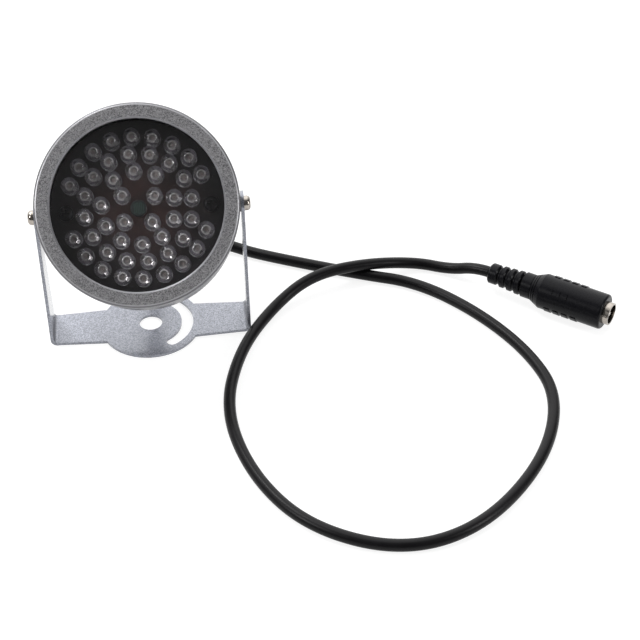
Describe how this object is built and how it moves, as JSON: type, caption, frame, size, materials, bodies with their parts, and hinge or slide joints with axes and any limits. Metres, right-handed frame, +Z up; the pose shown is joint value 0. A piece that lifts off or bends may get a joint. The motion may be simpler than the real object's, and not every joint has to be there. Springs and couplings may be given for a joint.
{
  "type": "infrared illuminator",
  "caption": "Round infrared lamp head with clear glass window and light sensor, tilting in a folded U bracket, with a short power cord ending in an inline jack",
  "frame": {"origin": "centre of the stud hole in the bracket's base, on its underside, which is the surface it stands on", "axes": "+Z up along the stud hole, X along the tilt axis, and the lamps face -Y when the head is level"},
  "size_m": [0.1856, 0.1482, 0.0829],
  "materials": {
    "bracket_paint": "hammered grey paint on folded steel sheet",
    "head_paint": "hammered silver-grey paint on turned aluminium",
    "window": "clear polished",
    "black_rubber": "matt",
    "board_laminate": "dark solder mask",
    "lamp_epoxy": "water-clear epoxy",
    "sensor_ceramic": "clear-coated ceramic",
    "brass": "turned",
    "black_steel": "black oxide",
    "nickel": "nickel plate",
    "black_nylon": "matt",
    "resistor_lacquer": "lacquered",
    "can_aluminium": "drawn can",
    "core_insulation": "PVC insulation",
    "cord_pvc": "glossy PVC sheath",
    "jack_plastic": "moulded PVC"
  },
  "bodies": {
    "bracket": {"bracket": "bracket_paint", "cord_rise": "cord_pvc", "cord": "cord_pvc", "jack_body": "jack_plastic", "jack_sleeve": "nickel", "jack_insulator": "black_nylon", "jack_pin": "nickel"},
    "head": {"housing": "head_paint", "bezel": "head_paint", "window_glass": "window", "window_gasket": "black_rubber", "lamp_board": "board_laminate", "lamp_ring_outer": "lamp_epoxy", "lamp_ring_third": "lamp_epoxy", "lamp_ring_second": "lamp_epoxy", "lamp_ring_inner": "lamp_epoxy", "light_sensor": "sensor_ceramic", "board_standoffs": "brass", "board_screws": "black_steel", "pivot_screws": "nickel", "pivot_washers": "black_nylon", "resistors": "resistor_lacquer", "capacitor": "can_aluminium", "transistor": "jack_plastic", "cord_grommet": "black_rubber", "cord_tail": "cord_pvc", "cord_tie": "black_nylon", "inner_cores": "core_insulation"}
  },
  "joints": [
    {"name": "tilt", "type": "hinge", "parent": "bracket", "child": "head", "pos_m": [0, 0, 0.04721], "axis": [-1, 0, 0], "range_deg": [-42, 47.5], "deforming": ["cord_rise"]}
  ]
}
